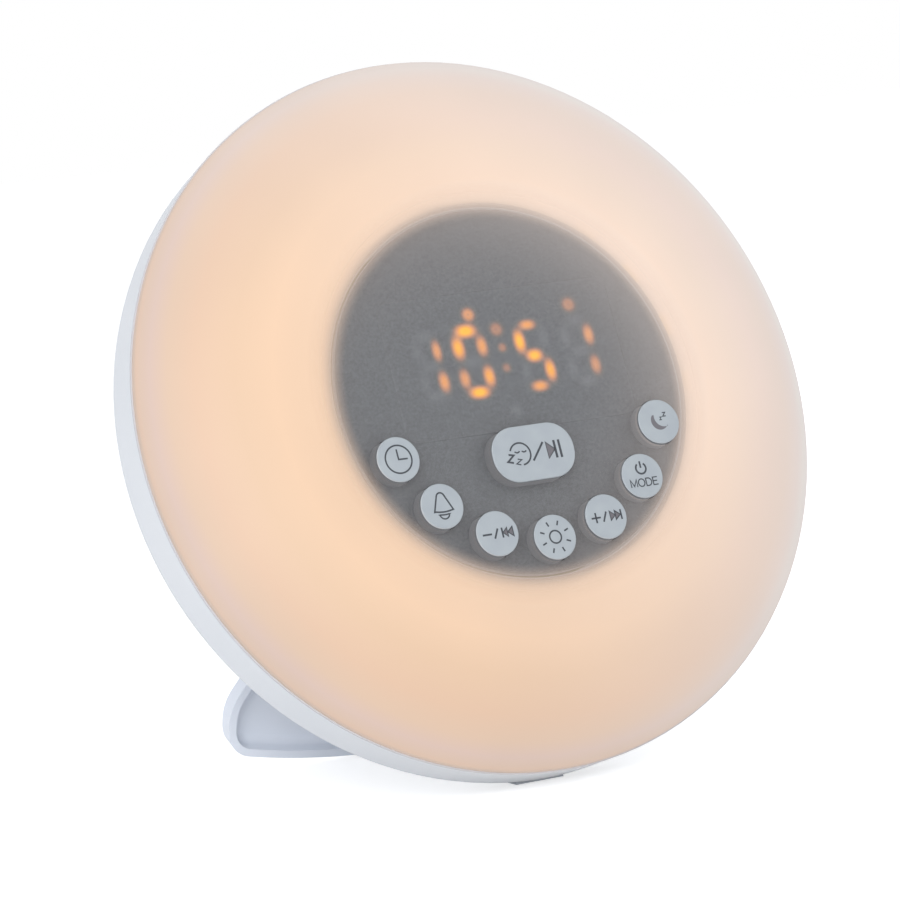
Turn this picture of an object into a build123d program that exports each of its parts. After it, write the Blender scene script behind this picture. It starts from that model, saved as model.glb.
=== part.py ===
from build123d import *
import os
from math import cos, radians, sin

# Sunrise alarm clock: a round lamp head that leans back on its rear stand.
# Lengths are in millimetres. The head is drawn on its own face plane, whose origin lies at the
# button tops on the axis of the disc, and whose normal leaves the front of the clock.
# Depths are counted from that plane towards the back.

# ---- how the clock stands ------------------------------------------------------------------
tilt_back = 19.3           # lean of the face from upright, degrees
stand_lean = 14.6          # lean of the opened stand leaf from upright, degrees
face_y = -29.10            # puts the middle of the whole clock's depth over the origin

# ---- opal front ----------------------------------------------------------------------------
rim_radius = 85.0          # widest radius, at the seam
seam_depth = 19.8
lens_depth = 0.4           # the middle of the lens lies this far behind the button tops
lens_wall = 1.8
lip_height = 1.2
lip_radius = 84.7
lip_bevel = 0.5
shoulder_radius = 84.4
shoulder_power = 5.2       # how long the lens stays flat before it turns down
lens_inner_radius = 82.4
tongue_wall = 1.5          # ring that plugs into the rear housing
tongue_depth = 23.0
tongue_overlap = 2.2       # the ring starts this far inside the lens, so that the two are one piece
seam_gap = 0.4

# ---- rear housing --------------------------------------------------------------------------
band_back_radius = 84.35
band_back_depth = 32.4
back_depth = 46.5
plateau_radius = 73.0
back_turns = [(80.2, 39.6), (83.9, 34.2)]      # radius and depth of the rounded back's corners
wall = 2.2
cavity_turns = [(71.6, 44.3), (78.0, 38.2), (81.6, 33.4), (82.15, 31.8)]
cavity_front = 1.0         # the cavity is cut this far past the seam
recess_depth = 40.0        # floor of the recess that the folded stand lies in
recess_margin = 0.8
band_edge_radius = 1.3
boss_floor = 4.4
screw_hole_depth = 10.0
speaker_wall = 2.0
speaker_wall_height = 3.2
rib_width = 1.4

# ---- stand ---------------------------------------------------------------------------------
hinge_height = 20.0        # above the middle of the face, along the face
hinge_depth = 44.0
hinge_pin_radius = 1.25
hinge_running_gap = 0.05
rim_forward = 3.5          # the leaf's open rim lies this far in front of its hinge axis
leaf_thickness = 6.0
leaf_wall = 1.9
leaf_draft = 7.0
leaf_half_width = 49.2
leaf_corner_rise = 6.5
leaf_shoulder_rise = 17.8
leaf_corner_radius = 7.0
leaf_shoulder_radius = 13.0
leaf_waist_radius = 40.0
leaf_edge_radius = 1.2
leaf_floor_radius = 1.8
neck_band = 10.0           # plain band across the neck, above the hollow
waist_half_width = 20.5
waist_rise = 56.1
neck_half_width = 19.0
neck_above_hinge = 4.0
barrel_radius = 3.4
pin_start = 13.0
pin_end = 23.0
pin_chamfer = 0.25
heel_reach = 4.2
heel_half_width = 11.0
heel_side_gap = 0.5
heel_front = 1.0           # the heel's front face lies this far in front of the hinge axis
heel_thickness = 1.6
stop_gap = 0.15
leaf_floor = 1.8
pad_proud = 0.3            # the rubber pad stands out of the leaf's lower edge
pad_half_width = 13.0
pad_inlay = 0.9
pad_length = 5.0
pad_inset = 0.3
pad_sole = 1.5

# ---- screws: head radius, head height, shank radius, shank length --------------------------
board_screw = (2.1, 1.3, 0.9, 8.0)
pan_screw = (2.7, 1.6, 1.3, 10.0)
power_screw = (2.1, 1.3, 0.85, 7.0)
cell_door_screw = (2.1, 0.8, 0.85, 5.5)
cross_reach = 1.4          # the cross slot's length, in head radii
cross_width = 0.5
cross_sink = 0.5           # the cross slot's depth, in head heights

# ---- shared clearances ---------------------------------------------------------------------
part_gap = 0.25            # between pieces that lie side by side
close_gap = 0.1            # round a piece that sits in its hole
face_gap = 0.05            # between pieces that lie on each other
joint_overlap = 0.2        # how far a boss runs into the wall that it stands on
thread_radius = 0.9
post_radius = 2.6

# ---- feet and floor ------------------------------------------------------------------------
foot_radius = 82.7         # the floor touches the head at this radius and this depth
foot_depth = 40.0
foot_half_width = 6.2
foot_back_depth = 40.3     # keeps the foot clear of the folded stand's pad
foot_length = 4.8
foot_block = 10.0          # height of the block that the foot is cut from
foot_corner = 2.0

# ---- buttons -------------------------------------------------------------------------------
button_radius = 5.18
button_ring_radius = 36.05
button_ring_rise = 0.39
button_step = 22.76        # degrees between neighbours on the ring
button_gap = 0.24
button_cap_depth = 5.6
button_edge_radius = 0.25
flange_width = 1.1
flange_depth = 6.6
stem_radius = 1.6
stem_depth = 9.0
snooze_length = 20.7
snooze_height = 12.8
snooze_corner = 6.0
snooze_rise = -15.76
ring_buttons = ["clock", "bell", "previous", "light", "next", "mode", "sleep"]

# ---- display and control board -------------------------------------------------------------
mask_radius = 43.05
mask_depth = 3.66
mask_wall = 1.5
mask_screw_hole = 7.0
window_width = 54.0
window_height = 28.0
window_x = 1.2
window_y = 7.2
window_corner = 2.0
film_thickness = 0.16
film_margin = 2.0
film_corner = 3.0
module_width = 50.4
module_height = 26.4
module_depth = 3.95
module_edge = 0.6
segment_thickness = 0.12
board_depth = 14.0
board_wall = 1.6
board_radius = 42.8
board_notch = (6.0, 3.0)
screw_clearance = 1.2
chip_edge = 0.25
capacitor_places = [(-24.0, 4.0), (-24.0, -6.0), (-16.0, -14.0)]
capacitor_radius = 3.1
capacitor_height = 5.4
capacitor_edge = 0.4
switch_size = 6.0
switch_body = 3.0
plunger_radius = 1.7
plunger_depth = 9.95
mask_posts = [(-27.0, 27.0), (27.0, 27.0), (-21.8, -13.4), (21.8, -13.4)]
digit_centres = [-18.6, -7.0, 8.2, 20.6]
digit_y = 7.3
digit_half_width = 2.85
digit_half_height = 7.2
segment_length = 5.0
segment_width = 1.7
colon_x = 1.1
colon_spacing = 5.6
marks = [(-5.5, 18.5), (0.6, 14.6), (20.4, 18.2)]
mark_radius = 1.5
mark_width = 0.55
lit_digits = ["bc", "abcdef", "acdfg", "bc"]

# ---- reflector pan and lamp ring -----------------------------------------------------------
pan_depth = 22.5
pan_wall = 1.5
pan_radius = 80.2
tower_radius = 43.6
tower_wall = 1.4
tower_top = 4.4
ledge_inner_radius = 40.8
ring_inner_radius = 50.0
ring_outer_radius = 66.0
led_ring_radius = 58.0
led_count = 24
led_size = 5.0
led_height = 1.5
boss_ring_radius = 73.0
boss_radius = 3.4
screw_radius = pan_screw[2]
pan_screw_gap = 0.3
ledge_height = 1.5
catch_reach = 1.8
catch_width = 7.0
catch_height = 1.6
catch_inset = 0.4
lamp_cable_place = (57.0, -2.0)
lamp_cable_hole = 1.6

# ---- speaker -------------------------------------------------------------------------------
speaker_y = -36.0
speaker_radius = 20.0
speaker_front_depth = 37.7
speaker_back_depth = 25.4
grille_hole_radius = 1.1
grille_pitch = 4.2
grille_rings = 4
cone_radius = 17.0
magnet_radius = 10.5
magnet_height = 4.0
magnet_edge = 0.5
basket_rim = 1.0           # thickness of the basket's flange and wall
dust_cap_radius = 5.2
cone_drop = 6.0            # how far the cone runs back from its rim
cap_drop = 4.6
pulp = 0.4                 # thickness of the cone

# ---- power inlet, power board and coin cell ------------------------------------------------
inlet_x = 55.0
inlet_y = 12.0
inlet_radius = 4.6
inlet_bore_radius = 2.75
inlet_bore_length = 9.0
inlet_pin_radius = 0.65
inlet_recess = 0.3
inlet_block = 9.4
inlet_pin_setback = 1.1    # the pin's tip lies this far inside the mouth
power_board_depth = 32.6
power_board_size = (30.0, 38.0)
power_board_centre = (54.0, 6.0)
power_board_corner = 2.0
power_posts = [(43.0, -9.0), (65.0, 21.0)]
power_post_hole = 1.1
power_part_height = 6.0
power_can = (62.0, -4.0, 4.0)                  # x, y and radius of the smoothing capacitor
power_blocks = [(46.0, 19.0, 7.0, 6.0), (55.0, -8.0, 4.0, 5.0)]    # x, y, width, length
door_x = 0.0
door_y = 45.5
door_width = 34.0
door_height = 28.0
door_wall = 1.6
cell_radius = 10.0
cell_height = 3.2
cell_edge = 0.4
cell_depth = 41.4          # where the cell's front face lies
bay_width = 27.0
bay_height = 21.5
bay_drop = 2.5             # the cell bay sits below the middle of its door
bay_depth = 38.4
bay_wall = 1.5
bay_corner = 1.5
bay_outer_corner = 2.0
bay_floor_depth = bay_depth + bay_wall
door_corner = 3.0
door_gap = 0.2
door_proud = 0.45          # the door stands out of the back by this much
door_edge = 0.4
door_boss_radius = 2.8
door_screw_place = (door_x, door_y + door_height / 2 - 3.0)
door_sink_radius = 2.4
door_sink_depth = 0.9
contact_lift = 1.55        # the contacts' height above the bay's floor
contact_plate = (8.0, 16.0)
contact_wall = 0.4
contact_dimple_radius = 2.4
contact_dimple = 1.0
side_contact = (0.5, 8.0)
side_contact_gap = 0.8
side_contact_height = 4.2

# ---- cables, with their routes as (x, y, depth) --------------------------------------------
cable_radius = 0.8
cable_bend = 5.0
lamp_cable_bend = 2.5
board_cable_route = [(8.3, -24, 18.2), (19, -24, 19.5), (28, -20, 26), (38, -12, 28.5), (43, -3, 31.4)]
speaker_cable_route = [(17.6, -27.5, 33.4), (27, -25, 31.5), (38, -19, 30), (47, -9, 31.2)]
lamp_cable_route = [(57, -2, 22.8), (57, -2, 27), (59, 3, 31.4)]

os.makedirs("parts", exist_ok=True)


def save(builder, name):
    """Label a finished piece and write it as one STEP file."""
    builder.part.label = name
    export_step(builder.part, f"parts/{name}.step")


# ---- planes and axes -----------------------------------------------------------------------
tilt_sin = sin(radians(tilt_back))
tilt_cos = cos(radians(tilt_back))
lean_sin = sin(radians(stand_lean))
lean_cos = cos(radians(stand_lean))
face_z = foot_radius * tilt_cos + foot_depth * tilt_sin

face = Plane(origin=(0, face_y, face_z), x_dir=(1, 0, 0), z_dir=(0, -tilt_cos, tilt_sin))
section = Plane(origin=face.origin, x_dir=(1, 0, 0), z_dir=-face.y_dir)
spin = Axis(face.origin, face.z_dir)


def at_depth(depth):
    """The plane parallel to the face at a depth behind the button tops."""
    return face.offset(-depth)


hinge_point = face.origin + face.y_dir * hinge_height - face.z_dir * hinge_depth
leaf_plane = Plane(origin=hinge_point, x_dir=(1, 0, 0), z_dir=(0, -lean_cos, -lean_sin))
leaf_length = (hinge_point.Z - rim_forward * lean_sin - pad_proud) / lean_cos


# ---- opal front diffuser -------------------------------------------------------------------
def lens_curve(radii, top, drop, edge):
    """Points of a profile that stays flat and then turns down: top - drop * (r / edge) ^ power."""
    return [(r, -top - drop * (r / edge) ** shoulder_power) for r in radii]


outer_drop = seam_depth - lip_height - lens_depth
inner_drop = seam_depth - lens_depth - lens_wall
outer_radii = [0, 20, 36, 48, 57, 64, 70, 75, 79.5, shoulder_radius]
inner_radii = [0, 20, 36, 48, 57, 64, 70, 75, 79, lens_inner_radius]

with BuildPart() as front_diffuser:
    with BuildSketch(section):
        with BuildLine():
            outer = Spline(lens_curve(outer_radii, lens_depth, outer_drop, shoulder_radius))
            inner = Spline(lens_curve(inner_radii, lens_depth + lens_wall, inner_drop, lens_inner_radius))
            lip_top = (lip_radius, -seam_depth + lip_height - lip_bevel)
            Polyline(outer @ 1, lip_top, (lip_radius, -seam_depth), inner @ 1)
            Line(outer @ 0, inner @ 0)
        make_face()
    revolve(axis=spin)
    tongue_top = seam_depth - tongue_overlap
    with BuildSketch(at_depth(tongue_top)):
        Circle(lens_inner_radius)
        Circle(lens_inner_radius - tongue_wall, mode=Mode.SUBTRACT)
    extrude(amount=tongue_top - tongue_depth)
    with BuildSketch(face):
        with Locations((0, button_ring_rise)):
            with PolarLocations(button_ring_radius, len(ring_buttons), start_angle=-90 - 3 * button_step,
                                angular_range=6 * button_step, endpoint=True, rotate=False):
                Circle(button_radius + button_gap)
        with Locations((0, snooze_rise)):
            RectangleRounded(snooze_length + 2 * button_gap, snooze_height + 2 * button_gap,
                             snooze_corner + button_gap)
    extrude(amount=-mask_depth, mode=Mode.SUBTRACT)
save(front_diffuser, "front_diffuser")

# ---- outline of the stand leaf -------------------------------------------------------------
# Drawn with the lower edge's middle at the origin: a bell, with a shallow arc for its foot.
with BuildSketch() as leaf_outline:
    with BuildLine():
        foot_start = (-leaf_half_width, leaf_corner_rise)
        foot = ThreePointArc(foot_start, (0, 0), (leaf_half_width, leaf_corner_rise))
        neck_rise = leaf_length + neck_above_hinge
        Polyline(
            foot @ 1,
            (leaf_half_width, leaf_shoulder_rise),
            (waist_half_width, waist_rise),
            (neck_half_width, neck_rise),
            (-neck_half_width, neck_rise),
            (-waist_half_width, waist_rise),
            (-leaf_half_width, leaf_shoulder_rise),
            foot @ 0,
        )
    make_face()
    corners = leaf_outline.vertices().group_by(Axis.Y)
    fillet(corners[0], leaf_corner_radius)
    corners = leaf_outline.vertices().filter_by(lambda v: abs(v.Y - leaf_shoulder_rise) < 0.1)
    fillet(corners, leaf_shoulder_radius)
    corners = leaf_outline.vertices().filter_by(lambda v: abs(v.Y - waist_rise) < 0.1)
    fillet(corners, leaf_waist_radius)

# ---- rear housing --------------------------------------------------------------------------
housing_profile = [
    (0, -back_depth),
    (plateau_radius, -back_depth),
    *[(radius, -depth) for radius, depth in back_turns],
    (band_back_radius, -band_back_depth),
    (rim_radius, -seam_depth - seam_gap / 2),
    (0, -seam_depth - seam_gap / 2),
]
cavity_profile = [
    (0, -back_depth + wall),
    *[(radius, -depth) for radius, depth in cavity_turns],
    (rim_radius - wall, -seam_depth - seam_gap / 2),
    (rim_radius - wall, -seam_depth + cavity_front),
    (0, -seam_depth + cavity_front),
]

with BuildPart() as housing_body:
    with BuildSketch(section) as body_face:
        with BuildLine():
            Polyline(housing_profile, close=True)
        make_face()
        turns = body_face.vertices().filter_by(lambda v: v.X > plateau_radius - 1 and v.Y < -seam_depth - 1)
        fillet(turns, band_edge_radius)
    revolve(axis=spin)


def leaf_recess(margin):
    """Draw the folded leaf's outline with a margin, open towards the lower rim, in this sketch."""
    fold_y = hinge_height - leaf_length
    with Locations((0, fold_y)):
        add(leaf_outline.sketch)
    offset(amount=margin)
    with Locations((0, fold_y + leaf_corner_rise - rim_radius)):
        Rectangle(2 * (leaf_half_width + margin), 2 * rim_radius)


with BuildPart() as housing_cavity:
    with BuildSketch(section):
        with BuildLine():
            Polyline(cavity_profile, close=True)
        make_face()
    revolve(axis=spin)
    with BuildSketch(at_depth(back_depth)):
        leaf_recess(recess_margin + wall)
    extrude(amount=back_depth - recess_depth + wall, mode=Mode.SUBTRACT)

pin_plane = Plane(origin=hinge_point, x_dir=(0, 1, 0), z_dir=(1, 0, 0))
with BuildPart() as stand_hinge_pins:
    for start in (pin_start, -pin_end):
        with BuildSketch(pin_plane.offset(start)):
            Circle(hinge_pin_radius)
        extrude(amount=pin_end - pin_start)
    chamfer(stand_hinge_pins.edges(), pin_chamfer)
save(stand_hinge_pins, "stand_hinge_pins")

with BuildPart() as rear_housing:
    add(housing_body.part)
    with BuildSketch(at_depth(back_depth)):
        leaf_recess(recess_margin)
    extrude(amount=back_depth - recess_depth, mode=Mode.SUBTRACT)
    add(housing_cavity.part, mode=Mode.SUBTRACT)
    # bosses that the reflector pan is screwed to
    with BuildSketch(at_depth(pan_depth + pan_wall + face_gap)):
        with PolarLocations(boss_ring_radius, 4, start_angle=45):
            Circle(boss_radius)
    extrude(amount=-(back_depth - pan_depth - pan_wall - boss_floor))
    with BuildSketch(at_depth(pan_depth + pan_wall + face_gap)):
        with PolarLocations(boss_ring_radius, 4, start_angle=45):
            Circle(screw_radius)
    extrude(amount=-screw_hole_depth, mode=Mode.SUBTRACT)
    # wall round the speaker, and the grille in front of it
    with BuildSketch(at_depth(recess_depth - wall + joint_overlap)):
        with Locations((0, speaker_y)):
            Circle(speaker_radius + speaker_wall)
            Circle(speaker_radius + part_gap, mode=Mode.SUBTRACT)
    extrude(amount=speaker_wall_height + joint_overlap)
    with BuildSketch(at_depth(recess_depth)):
        with Locations((0, speaker_y)):
            Circle(grille_hole_radius)
            for ring in range(1, grille_rings + 1):
                with PolarLocations(ring * grille_pitch, 6 * ring):
                    Circle(grille_hole_radius)
    extrude(amount=wall, mode=Mode.SUBTRACT)
    # rib that the opened stand's heel rests against
    with BuildSketch(at_depth(recess_depth)):
        with Locations((0, hinge_height + heel_reach)):
            Rectangle(2 * heel_half_width, rib_width)
    extrude(amount=-(hinge_depth - heel_front - stop_gap - recess_depth))
    # holes of the hinge pins and of the power inlet
    with BuildSketch(pin_plane.offset(-pin_end)):
        Circle(hinge_pin_radius)
    extrude(amount=2 * pin_end, mode=Mode.SUBTRACT)
    with BuildSketch(at_depth(back_depth)):
        with Locations((inlet_x, inlet_y)):
            Circle(inlet_radius + close_gap)
    extrude(amount=wall, mode=Mode.SUBTRACT)
    # posts of the power board
    with BuildSketch(at_depth(power_board_depth + board_wall + face_gap)):
        with Locations(*power_posts):
            Circle(post_radius)
            Circle(thread_radius, mode=Mode.SUBTRACT)
    extrude(amount=-(back_depth - power_board_depth - board_wall - wall + joint_overlap))
    # bay of the coin cell, with the seat and the screw boss of its door
    with BuildSketch(at_depth(back_depth - wall + joint_overlap)):
        with Locations((door_x, door_y - bay_drop)):
            RectangleRounded(bay_width + 2 * bay_wall, bay_height + 2 * bay_wall, bay_outer_corner)
        with Locations(door_screw_place):
            Circle(door_boss_radius)
    extrude(amount=back_depth - wall - bay_depth)
    with BuildSketch(at_depth(back_depth)):
        with Locations((door_x, door_y)):
            RectangleRounded(door_width + 2 * door_gap, door_height + 2 * door_gap, door_corner + door_gap)
    extrude(amount=door_wall - door_proud + face_gap, mode=Mode.SUBTRACT)
    with BuildSketch(at_depth(back_depth)):
        with Locations((door_x, door_y - bay_drop)):
            RectangleRounded(bay_width, bay_height, bay_corner)
    extrude(amount=back_depth - bay_floor_depth, mode=Mode.SUBTRACT)
    with BuildSketch(at_depth(back_depth)):
        with Locations(door_screw_place):
            Circle(thread_radius)
    extrude(amount=back_depth - bay_floor_depth, mode=Mode.SUBTRACT)
save(rear_housing, "rear_housing")

# ---- stand leaf ----------------------------------------------------------------------------
with BuildPart() as stand_foot_pad:
    with BuildSketch(leaf_plane.offset(rim_forward - pad_inset)):
        with Locations((0, -leaf_length)):
            Rectangle(2 * pad_half_width, 2 * pad_inlay)
    extrude(amount=-pad_length)
    with BuildSketch(leaf_plane.offset(rim_forward - pad_inset)):
        with Locations((0, -leaf_length - pad_inlay - pad_sole / 2)):
            Rectangle(2 * pad_half_width, pad_sole)
    extrude(amount=-pad_length)
    split(bisect_by=Plane.XY, keep=Keep.TOP)
save(stand_foot_pad, "stand_foot_pad")

# the leaf's hollow, seen from the front when the stand is open
with BuildPart() as leaf_hollow:
    with BuildSketch(leaf_plane.offset(rim_forward)):
        with Locations((0, -leaf_length)):
            add(leaf_outline.sketch)
        offset(amount=-leaf_wall)
        with Locations((0, neck_above_hinge + leaf_wall - neck_band / 2)):
            Rectangle(4 * neck_half_width, neck_band + 4 * leaf_wall, mode=Mode.SUBTRACT)
    extrude(amount=-(leaf_thickness - leaf_floor), taper=leaf_draft)
    fillet(leaf_hollow.faces().sort_by(Axis(hinge_point, leaf_plane.z_dir))[0].edges(), leaf_floor_radius)

with BuildPart() as stand_leaf:
    with BuildSketch(leaf_plane.offset(rim_forward)):
        with Locations((0, -leaf_length)):
            add(leaf_outline.sketch)
    extrude(amount=-leaf_thickness, taper=leaf_draft)
    fillet(stand_leaf.faces().sort_by(Axis(hinge_point, leaf_plane.z_dir))[0].edges(), leaf_edge_radius)
    add(leaf_hollow.part, mode=Mode.SUBTRACT)
    split(bisect_by=Plane(origin=hinge_point, z_dir=leaf_plane.y_dir), keep=Keep.BOTTOM)
    # barrel round the hinge axis, with the heel that stops the leaf when it is open
    with BuildSketch(pin_plane.offset(-neck_half_width)):
        Circle(barrel_radius)
    extrude(amount=2 * neck_half_width)
    heel_face = face.offset(-hinge_depth + heel_front)
    with BuildSketch(heel_face):
        with Locations((0, hinge_height + heel_reach / 2)):
            Rectangle(2 * (heel_half_width - heel_side_gap), heel_reach)
    extrude(amount=-heel_thickness)
    with BuildSketch(pin_plane.offset(pin_start - part_gap)):
        Circle(hinge_pin_radius + hinge_running_gap)
    extrude(amount=pin_end, mode=Mode.SUBTRACT)
    with BuildSketch(pin_plane.offset(-pin_start + part_gap)):
        Circle(hinge_pin_radius + hinge_running_gap)
    extrude(amount=-pin_end, mode=Mode.SUBTRACT)
    add(stand_foot_pad.part, mode=Mode.SUBTRACT)
save(stand_leaf, "stand_leaf")

with BuildPart() as base_foot:
    with BuildSketch(at_depth(foot_back_depth)):
        with Locations((0, -foot_radius)):
            RectangleRounded(2 * foot_half_width, foot_block, foot_corner)
    extrude(amount=foot_length)
    add(housing_body.part, mode=Mode.SUBTRACT)
    split(bisect_by=Plane.XY, keep=Keep.TOP)
save(base_foot, "base_foot")

# ---- buttons -------------------------------------------------------------------------------
ring_places = []
for index in range(len(ring_buttons)):
    angle = radians(-90 + (index - 3) * button_step)
    across = button_ring_radius * cos(angle)
    ring_places.append((across, button_ring_rise + button_ring_radius * sin(angle)))

for name, place in zip(ring_buttons, ring_places):
    with BuildPart() as ring_button:
        with BuildSketch(face):
            with Locations(place):
                Circle(button_radius)
        extrude(amount=-button_cap_depth)
        fillet(ring_button.faces().sort_by(spin)[-1].edges(), button_edge_radius)
        with BuildSketch(at_depth(button_cap_depth)):
            with Locations(place):
                Circle(button_radius + flange_width)
        extrude(amount=-(flange_depth - button_cap_depth))
        with BuildSketch(at_depth(flange_depth)):
            with Locations(place):
                Circle(stem_radius)
        extrude(amount=-(stem_depth - flange_depth))
    save(ring_button, f"button_{name}")

with BuildPart() as snooze_button:
    with BuildSketch(face):
        with Locations((0, snooze_rise)):
            RectangleRounded(snooze_length, snooze_height, snooze_corner)
    extrude(amount=-button_cap_depth)
    fillet(snooze_button.faces().sort_by(spin)[-1].edges(), button_edge_radius)
    with BuildSketch(at_depth(button_cap_depth)):
        with Locations((0, snooze_rise)):
            RectangleRounded(snooze_length + 2 * flange_width, snooze_height + 2 * flange_width,
                             snooze_corner + flange_width)
    extrude(amount=-(flange_depth - button_cap_depth))
    with BuildSketch(at_depth(flange_depth)):
        with Locations((0, snooze_rise)):
            Circle(stem_radius)
    extrude(amount=-(stem_depth - flange_depth))
save(snooze_button, "button_snooze")
switch_places = ring_places + [(0, snooze_rise)]

# ---- display -------------------------------------------------------------------------------
with BuildPart() as display_mask:
    with BuildSketch(at_depth(mask_depth)):
        Circle(mask_radius)
        with Locations(*ring_places):
            Circle(button_radius + button_gap, mode=Mode.SUBTRACT)
        with Locations((0, snooze_rise)):
            RectangleRounded(snooze_length + 2 * button_gap, snooze_height + 2 * button_gap,
                             snooze_corner + button_gap, mode=Mode.SUBTRACT)
        with Locations((window_x, window_y)):
            RectangleRounded(window_width, window_height, window_corner, mode=Mode.SUBTRACT)
    extrude(amount=-mask_wall)
    with BuildSketch(at_depth(mask_depth + mask_wall)):
        with Locations(*mask_posts):
            Circle(post_radius)
    extrude(amount=-(board_depth - mask_depth - mask_wall - face_gap))
    with BuildSketch(at_depth(board_depth)):
        with Locations(*mask_posts):
            Circle(thread_radius)
    extrude(amount=mask_screw_hole, mode=Mode.SUBTRACT)
save(display_mask, "display_mask")

with BuildPart() as display_film:
    with BuildSketch(at_depth(mask_depth)):
        with Locations((window_x, window_y)):
            RectangleRounded(window_width + 2 * film_margin, window_height + 2 * film_margin, film_corner)
    extrude(amount=film_thickness)
save(display_film, "display_film")

with BuildPart() as display_module:
    with BuildSketch(at_depth(module_depth)):
        with Locations((window_x, window_y)):
            Rectangle(module_width, module_height)
    extrude(amount=-(board_depth - module_depth))
    chamfer(display_module.edges().filter_by(spin), module_edge)
save(display_module, "display_module")

segment_places = {
    "a": (0, 1, 0),
    "b": (1, 0.5, 90),
    "c": (1, -0.5, 90),
    "d": (0, -1, 0),
    "e": (-1, -0.5, 90),
    "f": (-1, 0.5, 90),
    "g": (0, 0, 0),
}


def draw_segments(wanted):
    """Draw the light bars of all four digits for which wanted(digit, letter) is true."""
    for digit, centre in enumerate(digit_centres):
        for letter, (across, up, turn) in segment_places.items():
            if wanted(digit, letter):
                spot = (centre + across * digit_half_width, digit_y + up * digit_half_height)
                with Locations(Location((spot[0], spot[1], 0), (0, 0, turn))):
                    SlotOverall(segment_length, segment_width)


with BuildPart() as segments_lit:
    with BuildSketch(at_depth(module_depth)):
        draw_segments(lambda digit, letter: letter in lit_digits[digit])
        with Locations((colon_x, digit_y + colon_spacing / 2), (colon_x, digit_y - colon_spacing / 2)):
            Circle(segment_width / 2)
        with Locations(*marks):
            Circle(mark_radius)
            Circle(mark_radius - mark_width, mode=Mode.SUBTRACT)
    extrude(amount=segment_thickness)
save(segments_lit, "segments_lit")

with BuildPart() as segments_dark:
    with BuildSketch(at_depth(module_depth)):
        draw_segments(lambda digit, letter: letter not in lit_digits[digit])
    extrude(amount=segment_thickness)
save(segments_dark, "segments_dark")

# ---- control board with its switches and chips ---------------------------------------------
with BuildPart() as control_board:
    with BuildSketch(at_depth(board_depth)):
        Circle(board_radius)
        with Locations(*mask_posts):
            Circle(screw_clearance, mode=Mode.SUBTRACT)
        with Locations((0, board_radius)):
            Rectangle(*board_notch, mode=Mode.SUBTRACT)
    extrude(amount=-board_wall)
save(control_board, "control_board")

with BuildPart() as tact_switches:
    with BuildSketch(at_depth(board_depth)):
        with Locations(*switch_places):
            Rectangle(switch_size, switch_size)
    extrude(amount=switch_body)
    with BuildSketch(at_depth(board_depth - switch_body)):
        with Locations(*switch_places):
            Circle(plunger_radius)
    extrude(amount=board_depth - switch_body - plunger_depth)
save(tact_switches, "tact_switches")

board_back = board_depth + board_wall
board_chips = {
    "controller_chip": [(-8.0, 10.0, 10.0, 10.0, 1.4)],
    "radio_chip": [(14.0, 14.0, 11.0, 11.0, 2.0)],
    "sound_chip": [(12.0, -6.0, 5.0, 6.2, 1.5)],
    "board_socket": [(0.0, -24.0, 16.0, 5.8, 4.6)],
}
for name, blocks in board_chips.items():
    with BuildPart() as chip:
        for x, y, chip_width, chip_length, chip_height in blocks:
            with BuildSketch(at_depth(board_back)):
                with Locations((x, y)):
                    Rectangle(chip_width, chip_length)
            extrude(amount=-chip_height)
        chamfer(chip.faces().sort_by(spin)[0].edges(), chip_edge)
    save(chip, name)

with BuildPart() as board_capacitors:
    with BuildSketch(at_depth(board_back)):
        with Locations(*capacitor_places):
            Circle(capacitor_radius)
    extrude(amount=-capacitor_height)
    tops = board_capacitors.faces().sort_by(spin)[:len(capacitor_places)]
    chamfer(tops.edges(), capacitor_edge)
save(board_capacitors, "board_capacitors")


def cross_screws(name, depth, places, screw, forward):
    """Write screws whose heads sit on a depth plane. forward=1 drives them to the front, -1 to the back."""
    head_radius, head_height, shank_radius, shank_length = screw
    with BuildPart() as screws:
        with BuildSketch(at_depth(depth)):
            with Locations(*places):
                Circle(head_radius)
        extrude(amount=-forward * head_height)
        with BuildSketch(at_depth(depth)):
            with Locations(*places):
                Circle(shank_radius)
        extrude(amount=forward * shank_length)
        with BuildSketch(at_depth(depth + forward * head_height)):
            with Locations(*places):
                Rectangle(cross_reach * head_radius, cross_width)
                Rectangle(cross_width, cross_reach * head_radius)
        extrude(amount=forward * cross_sink * head_height, mode=Mode.SUBTRACT)
    save(screws, name)


cross_screws("board_screws", board_back, mask_posts, board_screw, 1)

# ---- reflector pan and its tower -----------------------------------------------------------
pan_back = pan_depth + pan_wall
boss_places = []
for index in range(4):
    angle = radians(45 + 90 * index)
    boss_places.append((boss_ring_radius * cos(angle), boss_ring_radius * sin(angle)))

with BuildPart() as reflector_pan:
    with BuildSketch(at_depth(pan_depth)):
        Circle(pan_radius)
        Circle(tower_radius, mode=Mode.SUBTRACT)
        with Locations(*boss_places):
            Circle(screw_radius + pan_screw_gap, mode=Mode.SUBTRACT)
        with Locations(lamp_cable_place):
            Circle(lamp_cable_hole, mode=Mode.SUBTRACT)
    extrude(amount=-pan_wall)
    with BuildSketch(at_depth(pan_back)):
        Circle(tower_radius + tower_wall)
        Circle(tower_radius, mode=Mode.SUBTRACT)
    extrude(amount=pan_back - tower_top)
    with BuildSketch(at_depth(board_back + face_gap)):
        Circle(tower_radius + tower_wall / 2)
        Circle(ledge_inner_radius, mode=Mode.SUBTRACT)
    extrude(amount=-ledge_height)
    # three catches that hold the board down on its ledge
    with BuildSketch(at_depth(board_depth - close_gap)):
        with PolarLocations(tower_radius - catch_inset, 3, start_angle=90):
            Rectangle(catch_reach, catch_width)
    extrude(amount=catch_height)
save(reflector_pan, "reflector_pan")

cross_screws("pan_screws", pan_depth, boss_places, pan_screw, -1)

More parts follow.
